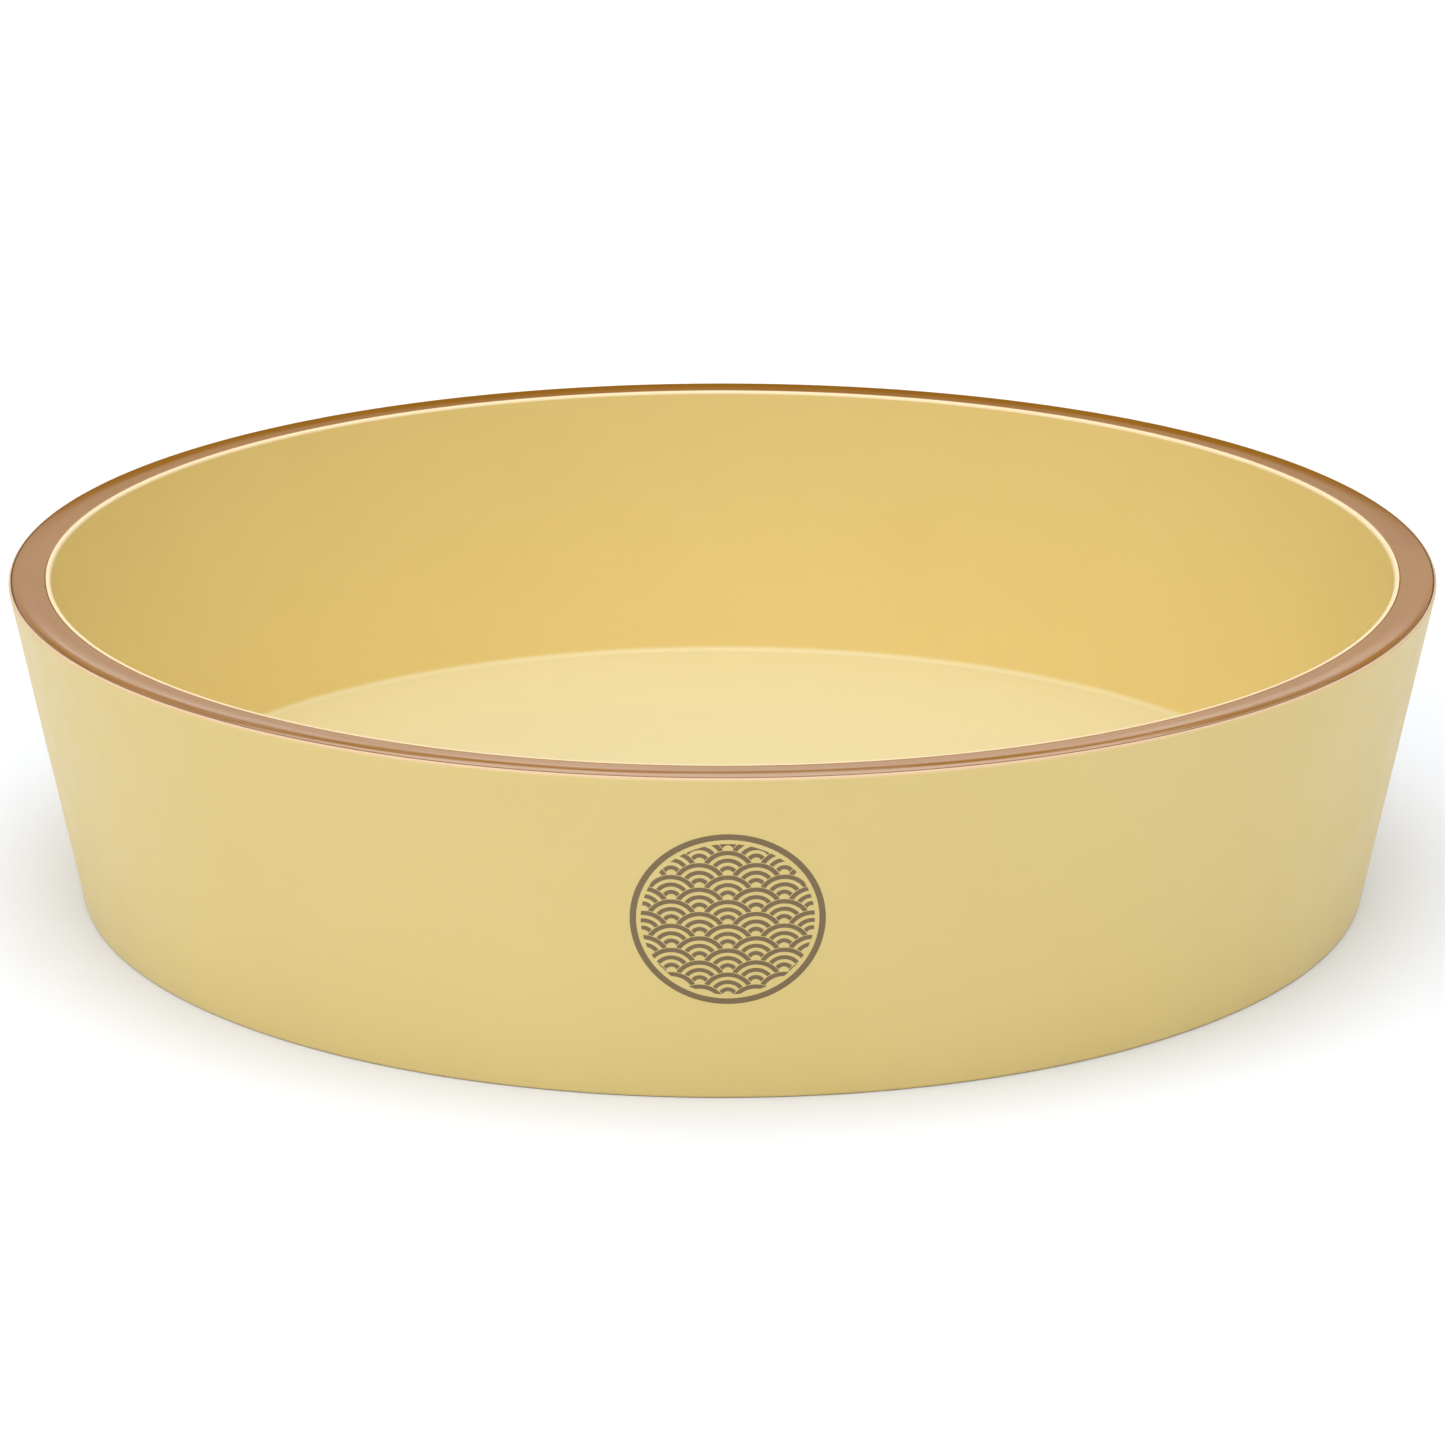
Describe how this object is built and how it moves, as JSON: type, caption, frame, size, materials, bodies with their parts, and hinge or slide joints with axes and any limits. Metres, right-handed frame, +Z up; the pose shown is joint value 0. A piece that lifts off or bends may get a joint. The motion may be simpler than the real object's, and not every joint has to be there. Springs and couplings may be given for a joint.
{
  "type": "sushi rice tub",
  "caption": "Wide, low round tub with a thick leaning wall and a coloured ring let into its rim, for cooling and mixing sushi rice.",
  "frame": {"origin": "centre of the tub, on the ground that it stands on", "axes": "+Z up along the tub's axis, and -Y towards the side that carries the printed motif"},
  "size_m": [0.54, 0.54, 0.1245],
  "materials": {
    "tub": "satin, fine moulded grain",
    "rim_ring": "satin"
  },
  "bodies": {
    "root": {"tub": "tub", "rim_ring": "rim_ring"}
  },
  "joints": []
}
